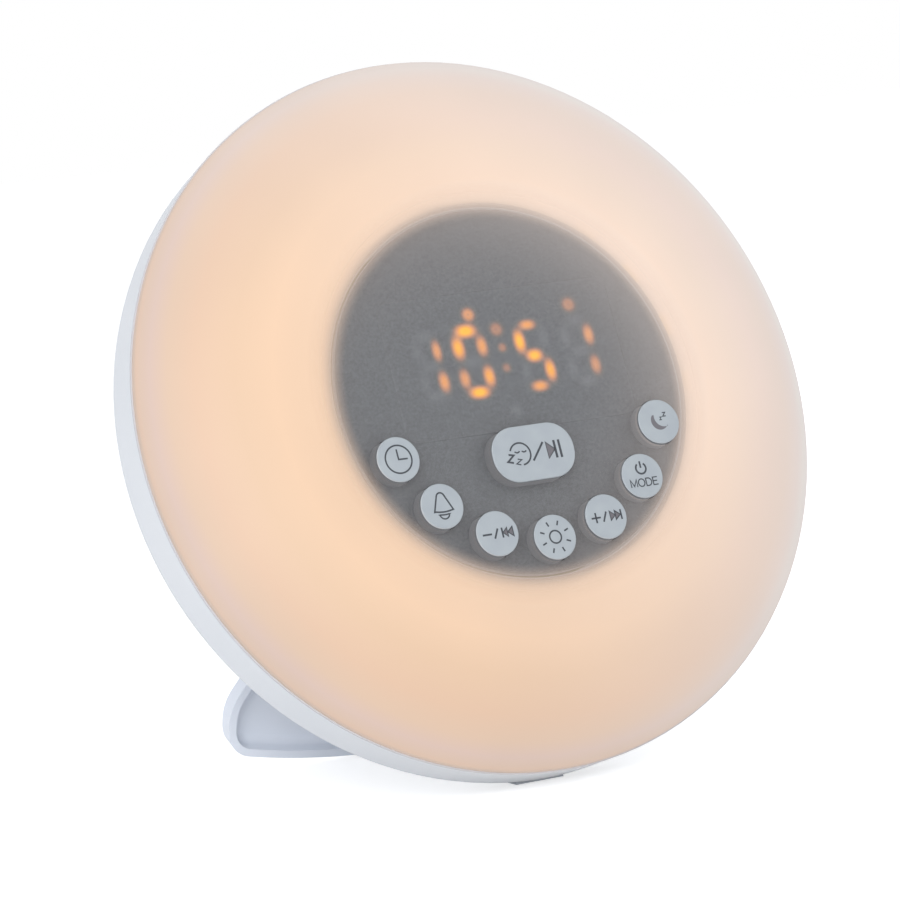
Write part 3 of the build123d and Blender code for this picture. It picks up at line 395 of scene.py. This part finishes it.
def capMaterial():
    # a satin cap with a painted highlight on its edge; below it the sides are black and glow with painted
    # light, darker just under the cap as painted shade in the gap and at the disc's own tone further down,
    # so that they vanish against the disc
    look = keyLook
    material, tree, shader = newMaterial("absKeyCapMoulded", {
        "Roughness": look["roughness"], "IOR": look["ior"], "Emission Strength": 1.0})
    face = facePlace(tree)
    height = addNode(tree, "ShaderNodeSeparateXYZ", None, {"Vector": face}).outputs["Z"]
    drift = addNode(tree, "ShaderNodeTexNoise", None, {
        "Vector": face, "Scale": 1 / look["driftMm"], "Detail": 2.0})
    tone = addNode(tree, "ShaderNodeValToRGB", None, {"Fac": drift.outputs["Fac"]}, [
        (look["driftLow"], look["capShade"]), (look["driftHigh"], look["cap"])])
    # painted highlight: the rounded edge is paler
    paintedHighlight = addNode(tree, "ShaderNodeMapRange", {"interpolation_type": "SMOOTHSTEP"}, {
        "Value": height, "From Min": -look["edgeFrom"], "From Max": -look["edgeTo"]})
    top = addNode(tree, "ShaderNodeMix", {"data_type": "RGBA"}, {
        "Factor": paintedHighlight.outputs["Result"], "A": tone.outputs["Color"], "B": linear(look["edge"])})
    # below the cap the base is black, and painted light and painted shade are laid on as glow
    isSide = addNode(tree, "ShaderNodeMath", {"operation": "LESS_THAN"}, {
        0: height, 1: -look["sideFrom"]}).outputs["Value"]
    colour = addNode(tree, "ShaderNodeMix", {"data_type": "RGBA"}, {
        "Factor": isSide, "A": top.outputs["Result"], "B": linear(look["skirt"])})
    tree.links.new(colour.outputs["Result"], shader.inputs["Base Color"])
    depth = addNode(tree, "ShaderNodeMapRange", {"interpolation_type": "SMOOTHSTEP"}, {
        "Value": height, "From Min": -look["sideTo"], "From Max": -look["sideFrom"]})
    side = addNode(tree, "ShaderNodeMix", {"data_type": "RGBA"}, {
        "Factor": depth.outputs["Result"], "A": linear(look["deepPaintedLight"]), "B": linear(look["side"])})
    paintedSideLight = addNode(tree, "ShaderNodeVectorMath", {"operation": "SCALE"}, {
        0: side.outputs["Result"], "Scale": isSide})
    tree.links.new(paintedSideLight.outputs["Vector"], shader.inputs["Emission Color"])
    grain = addNode(tree, "ShaderNodeTexNoise", None, {
        "Vector": face, "Scale": 1 / look["grainMm"], "Detail": 2.0})
    bump = addNode(tree, "ShaderNodeBump", None, {
        "Height": grain.outputs["Fac"], "Strength": look["grainStrength"],
        "Distance": look["grainDepth"] / 1000})
    tree.links.new(bump.outputs["Normal"], shader.inputs["Normal"])
    return material


def inkMaterial(name, colour):
    # pad-printed ink: a thin matt film, a little uneven in tone
    material, tree, shader = newMaterial(name, {"Roughness": ink["roughness"]})
    fleck = addNode(tree, "ShaderNodeTexNoise", None, {
        "Vector": facePlace(tree), "Scale": 1 / ink["fleckMm"], "Detail": 2.0})
    tone = addNode(tree, "ShaderNodeMapRange", None, {
        "Value": fleck.outputs["Fac"], "To Min": 1 - ink["fleckShare"], "To Max": 1 + ink["fleckShare"]})
    shade = addNode(tree, "ShaderNodeVectorMath", {"operation": "SCALE"}, {
        0: linear(colour)[:3], "Scale": tone.outputs["Result"]})
    tree.links.new(shade.outputs["Vector"], shader.inputs["Base Color"])
    return material


def arc(cx, cy, radius, start, end, count):
    # points of a circle from one angle to another, in degrees: centre + radius * (cos, sin)
    angle = np.radians(np.linspace(start, end, count))
    return np.stack([cx + radius * np.cos(angle), cy + radius * np.sin(angle)], -1)


def strokeEdges(path, width, closed):
    # both edges of a line: point +- normal * width / 2, lengthened at a corner by 1 / cos(half the turn)
    path = np.asarray(path, float)
    step = np.diff(np.vstack([path, path[:1]]) if closed else path, axis=0)
    step /= np.linalg.norm(step, axis=1)[:, None]
    before = np.roll(step, 1, axis=0) if closed else np.vstack([step[:1], step])
    after = step if closed else np.vstack([step, step[-1:]])
    middle = before + after
    middle /= np.linalg.norm(middle, axis=1)[:, None]
    grow = 1 / np.maximum((middle * after).sum(1), ink["mitreLimit"])
    side = np.stack([-middle[:, 1], middle[:, 0]], -1) * (width / 2 * grow)[:, None]
    return path + side, path - side


def printShape(left, right, closed, centre):
    # a raised band between two edge lines: each pair of edge points becomes a ring of four, top and bottom
    proud, sunk = -ink["proud"], ink["sunk"]
    ring = [onFace(edge[:, 0] + centre[0], edge[:, 1] + centre[1], depth)
            for edge, depth in ((left, proud), (right, proud), (right, sunk), (left, sunk))]
    points = np.stack(ring, 1)
    faces = gridFaces(len(left), 4, closed, True)[:, ::-1].tolist()
    if not closed:
        last = 4 * (len(left) - 1)
        faces += [[0, 1, 2, 3], [last + 3, last + 2, last + 1, last]]
    return points, faces


def printOnKey(name, key, centre, strokes, fills=()):
    # one piece for all lines of a pictogram, and one for its filled shapes
    for suffix, shapes, material in (("Lines", strokes, inkDark), ("Fill", fills, inkSoft)):
        points, faces, count = [], [], 0
        for shape in shapes:
            if suffix == "Lines":
                path, width, closed = shape
                left, right = strokeEdges(path, width, closed)
            else:
                (left, right), closed = shape, False
            more, rings = printShape(np.asarray(left, float), np.asarray(right, float), closed, centre)
            points.append(more.reshape(-1, 3))
            faces += [[i + count for i in f] for f in rings]
            count += more.shape[0] * 4
        if points:
            meshPiece(name + suffix, np.vstack(points), faces, key + "_key", material,
                      smooth=False)


def ringPlace(index):
    # centre of a key on the ring: radius * (cos, sin) of -90 + (index - 3) * step degrees
    angle = math.radians(-90 + (index - 3) * keyRing["step"])
    return keyRing["radius"] * math.cos(angle), keyRing["rise"] + keyRing["radius"] * math.sin(angle)


dress(capMaterial(), *[n for n in nodes if n.startswith("button_")])
inkDark = inkMaterial("padPrintedInkDark", ink["colour"])
inkSoft = inkMaterial("padPrintedInkThin", ink["filled"])
line = ink["line"]

# each mark is in mm from its key's centre: lines (points, width, closed or not), then fills (two edges each)
printOnKey("clockMark", "clock", ringPlace(0), [
    (arc(0, 0, 3.2, 0, 360, 97)[:-1], line, True),
    ([(-0.05, 2.3), (0, -0.05), (2.25, -0.1)], line, False)])

bellDome = np.vstack([[(-2.25, -1.15)], arc(0, 2.1, 0.98, 162, 18, 15), [(2.45, -1.05)],
                      arc(0.08, 7.2, 8.55, -74.5, -105.5, 13)[1:-1]])
clapper = np.vstack([arc(0.05, 5.2, 7.2, -100.5, -79.5, 9), arc(0.05, -1.75, 1.2, -8, -172, 17)])
printOnKey("bellMark", "bell", ringPlace(1), [(bellDome, line, True), (clapper, line * 0.9, True)])

printOnKey("previousMark", "previous", ringPlace(2), [
    ([(-3.8, 0.0), (-1.5, 0.0)], line * 1.15, False),
    ([(-0.95, -1.1), (0.2, 1.1)], line * 1.15, False),
    ([(1.18, 1.15), (1.18, -1.15)], line * 1.1, False),
    ([(2.45, 1.0), (1.35, 0.0), (2.45, -1.0)], line * 0.7, True),
    ([(3.85, 1.1), (2.55, 0.0), (3.85, -1.1)], line * 0.7, True)],
    [([(1.35, 0.02), (2.45, 1.0)], [(1.35, -0.02), (2.45, -1.0)]),
     ([(2.55, 0.02), (3.85, 1.1)], [(2.55, -0.02), (3.85, -1.1)])])

rays = [(np.outer([2.75, 3.85], [math.cos(a), math.sin(a)]), line, False)
        for a in np.radians(np.arange(22.5, 360, 45))]
printOnKey("lightMark", "light", ringPlace(3), [(arc(0, 0, 1.45, 0, 360, 49)[:-1], line, True)] + rays)

printOnKey("nextMark", "next", ringPlace(4), [
    ([(-3.85, -0.05), (-1.5, -0.05)], line * 1.1, False),
    ([(-2.68, 1.15), (-2.68, -1.25)], line * 1.1, False),
    ([(-0.95, -1.15), (0.15, 1.1)], line * 1.1, False),
    ([(1.0, 1.05), (2.25, 0.0), (1.0, -1.05)], line * 0.7, True),
    ([(2.3, 1.05), (3.6, 0.0), (2.3, -1.05)], line * 0.7, True),
    ([(3.8, 1.15), (3.8, -1.15)], line * 1.1, False)],
    [([(1.0, 1.05), (2.25, 0.02)], [(1.0, -1.05), (2.25, -0.02)]),
     ([(2.3, 1.05), (3.6, 0.02)], [(2.3, -1.05), (3.6, -0.02)])])

# the word MODE in single lines: across in mm, up in parts of its height
word = dict(height=1.75, line=0.27, low=-2.45)      # mm
letterM = [(-3.5, 0), (-3.5, 1), (-2.72, 0.12), (-1.94, 1), (-1.94, 0)]
letterO = arc(0, 0, 1, 0, 348, 30) * (0.82, 0.5) + (-0.72, 0.5)
letterD = np.vstack([[(0.5, 0), (0.5, 1)], arc(0, 0, 1, 90, -90, 17) * (0.85, 0.5) + (1.05, 0.5)])
letterE = [(3.5, 1), (2.3, 1), (2.3, 0), (3.5, 0)]
letters = [(letterM, False), (letterO, True), (letterD, True), (letterE, False),
           ([(2.3, 0.52), (3.35, 0.52)], False)]
printOnKey("modeMark", "mode", ringPlace(5), [
    (arc(0, 1.75, 1.28, 128, 412, 40), line * 1.15, False),
    ([(0, 3.4), (0, 1.85)], line * 1.15, False)] + [
    (np.asarray(path, float) * (1, word["height"]) + (0, word["low"]), word["line"], closed)
    for path, closed in letters])

moonOuter = arc(0.12, 0.15, 2.15, 138, 327, 33)
moonInner = arc(1.28, 1.02, 2.37, 167, 288, 33)
printOnKey("sleepMark", "sleep", ringPlace(6), [
    ([(1.25, 1.9), (2.0, 1.9), (1.25, 1.05), (2.05, 1.05)], line * 0.7, False),
    ([(0.3, 0.95), (0.8, 0.95), (0.3, 0.3), (0.85, 0.3)], line * 0.55, False)],
    [(moonInner, moonOuter)])

printOnKey("snoozeMark", "snooze", (0, keyRing["snoozeRise"]), [
    (arc(-3.48, 0.0, 2.55, 158, -86, 49), line * 1.05, False),
    (arc(-4.18, 1.1, 0.75, 215, 325, 9), line * 0.9, False),
    (arc(-2.42, 1.1, 0.75, 220, 320, 9), line * 0.9, False),
    ([(-6.5, 0.15), (-5.25, -0.12), (-7.0, -1.45), (-5.65, -1.85)], line * 1.2, False),
    ([(-4.5, -1.1), (-3.5, -1.35), (-5.0, -2.15), (-3.95, -2.5)], line * 0.8, False),
    ([(-0.6, -1.95), (2.72, 1.98)], line * 1.3, False),
    ([(5.5, 2.05), (5.5, -2.05)], line * 1.55, False),
    ([(6.7, 2.05), (6.7, -2.1)], line * 1.55, False),
    ([(3.38, 1.86), (5.4, 0.0), (3.43, -1.9)], line * 0.6, True)],
    [([(3.38, 1.86), (5.4, 0.02)], [(3.43, -1.9), (5.4, -0.02)])])
print("keys done")

# shell, stand, feet and inner parts; a grain too fine to show is drawn as coarse as it needs to be
grainShare = 0.2      # depth of a grain over its width
# moulded ABS: cool white with a satin gloss
shell = dict(colour="#E3E6EA", shade="#DDE1E6", roughness=0.42, specular=0.2, driftMm=60,
             grainMm=0.9, grainStrength=0.06, seam="#C6C6CA", seamFrom=-20.8, seamTo=-20.3)      # face mm
standLook = dict(colour="#ECF1FA", shade="#E6ECF6", roughness=0.4, specular=0.35, driftMm=50,
                 grainMm=0.9, grainStrength=0.06)
# moulded silicone: matt and slightly floury
rubber = dict(colour="#C4C8CF", shade="#BABFC7", roughness=0.75, ior=1.52, driftMm=8,
              grainMm=0.5, grainStrength=0.4)
# cast epoxy and moulded cases: deep satin black
blackMould = dict(colour="#1B1C1E", shade="#141516", roughness=0.5, driftMm=10,
                  grainMm=0.4, grainStrength=0.2)
# natural nylon: creamy and a little waxy
nylon = dict(colour="#E4DECB", shade="#DAD3BE", roughness=0.45, driftMm=6, grainMm=0.6, grainStrength=0.1)
# solder mask over glass epoxy: a thin even gloss, with the weave just felt
boardGreen = dict(colour="#1D6B3A", shade="#185A31", roughness=0.35, driftMm=3,
                  grainMm=0.3, grainStrength=0.1)
boardWhite = dict(colour="#EDEDE8", shade="#E2E2DC", roughness=0.4, driftMm=6,
                  grainMm=0.3, grainStrength=0.1)
# moulded polycarbonate, filled white: matt, so that it spreads the light
reflector = dict(colour="#F2F1EE", shade="#EBEAE6", roughness=0.6, driftMm=30,
                 grainMm=0.8, grainStrength=0.1,
                 # the wall colour is painted light on the tower's inner wall, so that the shade in the gap
                 # round the mask shows no dark ring
                 tower="#5D5F64", towerTo=45.2, wallPaintedLight="#66686C", wallTo=43.8)      # mm from the middle
# paper pulp: dull and fibrous; vinyl sleeves: smooth, half gloss; pressed ferrite: dark and dull
pulp = dict(colour="#242324", shade="#161516", roughness=0.9, driftMm=2, grainMm=0.4, grainStrength=0.6)
vinylRed = dict(colour="#B3241C", shade="#9C1E18", roughness=0.4, driftMm=8, grainMm=0.4, grainStrength=0.1)
vinylBlack = dict(colour="#222224", shade="#18181A", roughness=0.4, driftMm=8,
                  grainMm=0.4, grainStrength=0.1)
ferrite = dict(colour="#4A4A4D", shade="#38383B", roughness=0.6, driftMm=3, grainMm=0.4, grainStrength=0.3)
# zinc-plated steel and drawn aluminium: cool, with an uneven sheen; plated brass: warm and clean
steel = dict(colour="#B9BABD", roughness=0.32, spread=0.08, grainMm=0.3)
can = dict(colour="#C6C7CA", roughness=0.28, spread=0.08, grainMm=0.6)
brass = dict(colour="#CDB070", roughness=0.3, spread=0.08, grainMm=0.3)
# resin over phosphor: pale when off, a soft glow when lit
resinWarm = dict(colour="#FFD9A0", glow=0.3, roughness=0.3, cellMm=2.5, low=0.85, high=1.05)
resinOrange = dict(colour="#FF9A3C", glow=1.0, roughness=0.3, cellMm=2.5, low=0.85, high=1.05)


def mouldedPlastic(name, look):
    # moulded plastic: two close tones in slow drifts, and a fine grain that breaks up the gloss
    material, tree, shader = newMaterial(name, {
        "Roughness": look["roughness"], "IOR": look.get("ior", 1.53),
        "Specular IOR Level": look.get("specular", 0.5)})
    place = addNode(tree, "ShaderNodeTexCoord")
    drift = addNode(tree, "ShaderNodeTexNoise", None, {
        "Vector": place.outputs["Object"], "Scale": 1000 / look["driftMm"], "Detail": 2.0})
    tone = addNode(tree, "ShaderNodeValToRGB", None, {"Fac": drift.outputs["Fac"]}, [
        (noiseLow, look["shade"]), (noiseHigh, look["colour"])])
    tree.links.new(tone.outputs["Color"], shader.inputs["Base Color"])
    grain = addNode(tree, "ShaderNodeTexNoise", None, {
        "Vector": place.outputs["Object"], "Scale": 1000 / look["grainMm"], "Detail": 3.0})
    bump = addNode(tree, "ShaderNodeBump", None, {
        "Height": grain.outputs["Fac"], "Strength": look["grainStrength"],
        "Distance": look["grainMm"] / 1000 * grainShare})
    tree.links.new(bump.outputs["Normal"], shader.inputs["Normal"])
    return material


def tintWhere(material, factor, colour):
    # lays a second colour over a moulded plastic's own tone, where the factor is 1
    tree = material.node_tree
    shader = next(node for node in tree.nodes if node.bl_idname == "ShaderNodeBsdfPrincipled")
    tone = addNode(tree, "ShaderNodeMix", {"data_type": "RGBA"}, {
        "Factor": factor, "A": shader.inputs["Base Color"].links[0].from_socket, "B": linear(colour)})
    tree.links.new(tone.outputs["Result"], shader.inputs["Base Color"])
    return shader


def shellMaterial():
    # white housing with a thin grey line where the opal lens sits in it
    material = mouldedPlastic("absHousingMoulded", shell)
    tree = material.node_tree
    height = addNode(tree, "ShaderNodeSeparateXYZ", None, {"Vector": facePlace(tree)}).outputs["Z"]
    near = addNode(tree, "ShaderNodeMapRange", {"interpolation_type": "SMOOTHSTEP"}, {
        "Value": height, "From Min": shell["seamFrom"], "From Max": shell["seamTo"]})
    tintWhere(material, near.outputs["Result"], shell["seam"])
    return material


def reflectorMaterial():
    # white reflector whose grey tower keeps the light off the display; its inner wall glows with painted
    # light, so that the shade there shows no ring round the display
    material = mouldedPlastic("polycarbonateReflectorMoulded", reflector)
    tree = material.node_tree
    radius = fromMiddle(tree, facePlace(tree))[1]
    tower, wall = [addNode(tree, "ShaderNodeMath", {"operation": "LESS_THAN"}, {
        0: radius, 1: reflector[name]}).outputs["Value"] for name in ("towerTo", "wallTo")]
    shader = tintWhere(material, tower, reflector["tower"])
    shader.inputs["Emission Strength"].default_value = 1.0
    # painted light on the tower's inner wall, where there is only shade
    glow = addNode(tree, "ShaderNodeVectorMath", {"operation": "SCALE"}, {
        0: linear(reflector["wallPaintedLight"])[:3], "Scale": wall})
    tree.links.new(glow.outputs["Vector"], shader.inputs["Emission Color"])
    return material


def plainMetal(name, look):
    # metal: brushed or plated, its roughness broken up by fine noise
    material, tree, shader = newMaterial(name, {"Metallic": 1.0, "Base Color": linear(look["colour"])})
    place = addNode(tree, "ShaderNodeTexCoord")
    grain = addNode(tree, "ShaderNodeTexNoise", None, {
        "Vector": place.outputs["Object"], "Scale": 1000 / look["grainMm"], "Detail": 3.0})
    rough = addNode(tree, "ShaderNodeMapRange", None, {
        "Value": grain.outputs["Fac"], "To Min": look["roughness"] - look["spread"],
        "To Max": look["roughness"] + look["spread"]})
    tree.links.new(rough.outputs["Result"], shader.inputs["Roughness"])
    return material


def lampMaterial(name, look):
    # phosphor under clear resin: a small bright body colour with a soft cell pattern
    material, tree, shader = newMaterial(name, {
        "Roughness": look["roughness"], "Emission Strength": look["glow"]})
    place = addNode(tree, "ShaderNodeTexCoord")
    cells = addNode(tree, "ShaderNodeTexNoise", None, {
        "Vector": place.outputs["Object"], "Scale": 1000 / look["cellMm"]})
    tone = addNode(tree, "ShaderNodeMapRange", None, {
        "Value": cells.outputs["Fac"], "To Min": look["low"], "To Max": look["high"]})
    shade = addNode(tree, "ShaderNodeVectorMath", {"operation": "SCALE"}, {
        0: linear(look["colour"])[:3], "Scale": tone.outputs["Result"]})
    tree.links.new(shade.outputs["Vector"], shader.inputs["Base Color"])
    tree.links.new(shade.outputs["Vector"], shader.inputs["Emission Color"])
    return material


dress(shellMaterial(), "rear_housing", "cell_door")
dress(mouldedPlastic("absStandMoulded", standLook), "stand_leaf")
dress(mouldedPlastic("siliconeFootMoulded", rubber), "base_foot", "stand_foot_pad")
dress(mouldedPlastic("epoxyBlackCast", blackMould), "display_module", "segments_dark", "controller_chip",
      "radio_chip", "sound_chip", "tact_switches", "power_parts", "power_inlet")
dress(mouldedPlastic("nylonNaturalMoulded", nylon), "board_socket")
dress(mouldedPlastic("glassEpoxyGreenMask", boardGreen), "control_board", "power_board")
dress(mouldedPlastic("glassEpoxyWhiteMask", boardWhite), "lamp_ring_board")
dress(reflectorMaterial(), "reflector_pan")
dress(mouldedPlastic("paperPulpCone", pulp), "speaker_cone", "speaker_basket")
dress(mouldedPlastic("vinylRedExtruded", vinylRed), "board_cable", "lamp_cable")
dress(mouldedPlastic("vinylBlackExtruded", vinylBlack), "speaker_cable")
dress(mouldedPlastic("ferritePressed", ferrite), "speaker_magnet")
dress(plainMetal("steelZincPlated", steel), "board_screws", "pan_screws", "power_screws", "door_screw",
      "stand_hinge_pins")
dress(plainMetal("aluminiumDrawn", can), "board_capacitors", "coin_cell")
dress(plainMetal("brassPlated", brass), "cell_contacts")
dress(lampMaterial("phosphorResinWarm", resinWarm), "lamp_leds")
dress(lampMaterial("segmentResinOrange", resinOrange), "segments_lit")
print("shell and inner parts done")

# floor, backdrop, lamps and camera
studio = dict(
    floorSize=8.0, floorTone=0.8, floorGlow=0.6,
    sky=0.60, skyTint="#F8FAFF",
    aim=(0, 0, 0.08),
    lamps=dict(key=((-1.1, -1.15, 1.35), 1.2, 9.0), fill=((1.3, -1.2, 0.9), 1.4, 6.0),
               top=((0.1, 0.5, 1.7), 1.2, 3.0), low=((-0.65, -1.2, 0.15), 1.2, 17.0)),   # place, size, power
    cameraPlace=(-0.44468, -0.85531, 0.17866), cameraTurn=(83.853, 5.1153, -27.8429),
    lens=167.574, sensor=36.0, clip=(0.01, 20.0),
)


def seenRays(tree):
    # 1 for camera, mirror and see-through rays, 0 for the light that falls on the object
    path = addNode(tree, "ShaderNodeLightPath")
    first = addNode(tree, "ShaderNodeMath", {"operation": "MAXIMUM"}, {
        0: path.outputs["Is Camera Ray"], 1: path.outputs["Is Glossy Ray"]})
    return addNode(tree, "ShaderNodeMath", {"operation": "MAXIMUM"}, {
        0: first.outputs["Value"], 1: path.outputs["Is Transmission Ray"]}).outputs["Value"]


def buildFloor():
    # a matt plane that shows paler than it is lit, and still takes the object's shadow
    half = studio["floorSize"] / 2
    mesh = bpy.data.meshes.new("floor")
    mesh.from_pydata([(-half, -half, 0), (half, -half, 0), (half, half, 0), (-half, half, 0)], [],
                     [(0, 1, 2, 3)])
    floor = bpy.data.objects.new("floor", mesh)
    bpy.context.scene.collection.objects.link(floor)
    material = bpy.data.materials.new("paleFloor")
    material.use_nodes = True
    tree = material.node_tree
    tree.nodes.clear()
    tone = studio["floorTone"]
    matt = addNode(tree, "ShaderNodeBsdfDiffuse", None, {"Color": (tone, tone, tone, 1)})
    glow = addNode(tree, "ShaderNodeMath", {"operation": "MULTIPLY"}, {
        0: seenRays(tree), 1: studio["floorGlow"]})
    shine = addNode(tree, "ShaderNodeEmission", None, {
        "Color": (1, 1, 1, 1), "Strength": glow.outputs["Value"]})
    both = addNode(tree, "ShaderNodeAddShader", None, {0: matt.outputs[0], 1: shine.outputs[0]})
    addNode(tree, "ShaderNodeOutputMaterial", None, {"Surface": both.outputs[0]})
    mesh.materials.append(material)


def buildSky():
    # white where it is seen, and a soft cool light on the object
    world = bpy.data.worlds.new("studioWorld")
    bpy.context.scene.world = world
    world.use_nodes = True
    tree = world.node_tree
    tree.nodes.clear()
    seen = seenRays(tree)
    strength = addNode(tree, "ShaderNodeMix", {"data_type": "FLOAT"}, {
        "Factor": seen, "A": studio["sky"], "B": 1.0})
    colour = addNode(tree, "ShaderNodeMix", {"data_type": "RGBA"}, {
        "Factor": seen, "A": linear(studio["skyTint"]), "B": (1, 1, 1, 1)})
    sky = addNode(tree, "ShaderNodeBackground", None, {
        "Color": colour.outputs["Result"], "Strength": strength.outputs["Result"]})
    addNode(tree, "ShaderNodeOutputWorld", None, {"Surface": sky.outputs[0]})


def buildLamps():
    # square soft boxes that all face the clock
    for name, (place, size, power) in studio["lamps"].items():
        lamp = bpy.data.lights.new(name + "Lamp", "AREA")
        lamp.energy, lamp.size = power, size
        holder = bpy.data.objects.new(name + "Lamp", lamp)
        bpy.context.scene.collection.objects.link(holder)
        holder.location = place
        holder.rotation_euler = Vector(np.subtract(place, studio["aim"])).to_track_quat("Z", "Y").to_euler()


def buildCamera():
    # a long lens at the left front, a little higher than the top of the clock
    camera = bpy.data.cameras.new("camera")
    camera.lens, camera.sensor_width = studio["lens"], studio["sensor"]
    camera.clip_start, camera.clip_end = studio["clip"]
    holder = bpy.data.objects.new("camera", camera)
    holder.location = studio["cameraPlace"]
    holder.rotation_euler = [math.radians(a) for a in studio["cameraTurn"]]
    bpy.context.scene.collection.objects.link(holder)
    bpy.context.scene.camera = holder


buildFloor()
buildSky()
buildLamps()
buildCamera()
bpy.context.scene.view_settings.view_transform = "Standard"
print("studio done")
